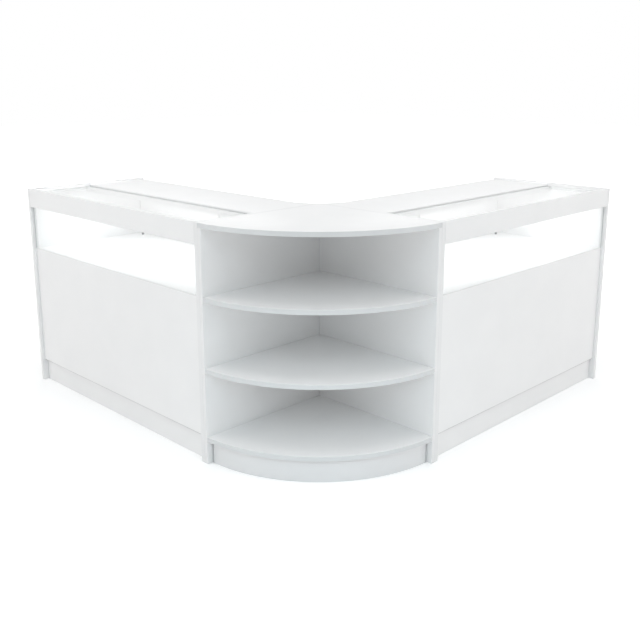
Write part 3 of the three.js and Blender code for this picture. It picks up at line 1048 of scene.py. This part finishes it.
def sky():
    """A soft sky that is white where it is seen directly."""
    world = bpy.data.worlds.new("soft_sky")
    world.use_nodes = True
    bpy.context.scene.world = world
    tree = world.node_tree
    background = tree.nodes["Background"]
    background.inputs["Color"].default_value = (1, 1, 1, 1)
    strength = ramp(tree, seen_directly(tree), (0, 1), (SKY_STRENGTH, 1))
    tree.links.new(strength, background.inputs["Strength"])


def hang(name, data, place):
    """Places a lamp that lights the desk without being seen, in a mirror or in the glass either."""
    soft = bpy.data.objects.new(name, data)
    soft.location = place
    soft.visible_camera = False
    soft.visible_glossy = False
    soft.visible_transmission = False
    bpy.context.scene.collection.objects.link(soft)
    return soft


def lamp(
    name, turn, rise, watts,
    colour=(1, 1, 1), size=LAMP_SIZE, distance=LAMP_DISTANCE, aim=LAMP_AIM, spread=180,
):
    """A soft lamp round its aim, turned from the camera's side, raised and spread by angles in degrees."""
    data = bpy.data.lights.new(name, "AREA")
    data.shape = "DISK"
    data.size = size
    data.spread = math.radians(spread)
    data.energy = watts
    data.color = colour
    bearing = math.radians(CAMERA_TURN[2] - 180 + turn)
    height = math.radians(rise)
    level = math.cos(height)
    toward = Vector((-math.sin(bearing) * level, math.cos(bearing) * level, math.sin(height)))
    soft = hang(name, data, aim + distance * toward)
    soft.rotation_euler = toward.to_track_quat("Z", "Y").to_euler()


def display_lamps():
    """The display light's light, spread evenly over each display's deck."""
    low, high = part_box("right_display_deck")
    place = Vector(((low.x + high.x) / 2, (low.y + high.y) / 2, high.z + DISPLAY_LAMP["height"]))
    length = high.x - low.x - 2 * DISPLAY_LAMP["from_end"]
    depth = high.y - low.y - 2 * DISPLAY_LAMP["from_front"]
    for side, turn in (("right", Matrix()), ("left", ACROSS_THE_CORNER)):
        name = f"{side}_display_lamp"
        size = turn @ Vector((length, depth, 0))
        data = bpy.data.lights.new(name, "AREA")
        data.shape = "RECTANGLE"
        data.size = size.x
        data.size_y = size.y
        data.energy = DISPLAY_LAMP["watts"]
        hang(name, data, turn @ place)


def floor():
    """A white floor that glows where it is seen directly, more so away from the desk, and keeps shadows."""
    bpy.ops.object.select_all(action="DESELECT")
    bpy.ops.mesh.primitive_plane_add(size=FLOOR_SIZE)
    ground = settle("floor")
    material, tree, shader = finish("white_floor")
    shader.inputs["Base Color"].default_value = (0.95, 0.95, 0.95, 1)
    shader.inputs["Roughness"].default_value = 1.0
    shader.inputs["Specular IOR Level"].default_value = 0.0
    shader.inputs["Emission Color"].default_value = (1, 1, 1, 1)
    away = tree.nodes.new("ShaderNodeVectorMath")
    away.operation = "LENGTH"
    tree.links.new(tree.nodes.new("ShaderNodeTexCoord").outputs["Object"], away.inputs[0])
    reach = (FLOOR_GLOW["from"], FLOOR_GLOW["to"])
    glow = ramp(tree, away.outputs["Value"], reach, (FLOOR_GLOW["near"], FLOOR_GLOW["far"]))
    tree.links.new(ramp(tree, seen_directly(tree), (0, 1), (0, glow)), shader.inputs["Emission Strength"])
    dress(ground, material)


counter_boards()
worktop()
plinth_shadow_lip()
fascia()
for corner_node in ("corner_top", "corner_upper_shelf", "corner_lower_shelf", "corner_base"):
    quarter_board(corner_node)
for corner_node in ("corner_left_side", "corner_right_side"):
    fit(board(corner_node), corner_node)
kickboard()
infill()
pane("right_front_glass", standing=True)
pane("right_top_glass", standing=False)
worktop_seal()
glass_bead()

track("right_lower_track", web_on_top=False)
track("right_upper_track", web_on_top=True)
sliding_door("corner", pull_from_low=True, lock_at=LOCK_PLACE)
sliding_door("end", pull_from_low=False)
lock_barrel()
lock_core()
light_housing()
light_cover()
light_end_block()
rocker_key()
light_inlet()
shelf_pins("corner_shelf", BAY_WALLS["inner_end"] + BAY_WALLS["centre_divider"][:1])
shelf_pins("end_shelf", BAY_WALLS["centre_divider"][1:] + BAY_WALLS["outer_end"])
capped_boards()
connector_bolts()
infill_bracket()

camera()
sky()
for lamp_name, settings in LAMPS.items():
    lamp(lamp_name, **settings)
display_lamps()
floor()
bpy.context.scene.view_settings.view_transform = "Standard"
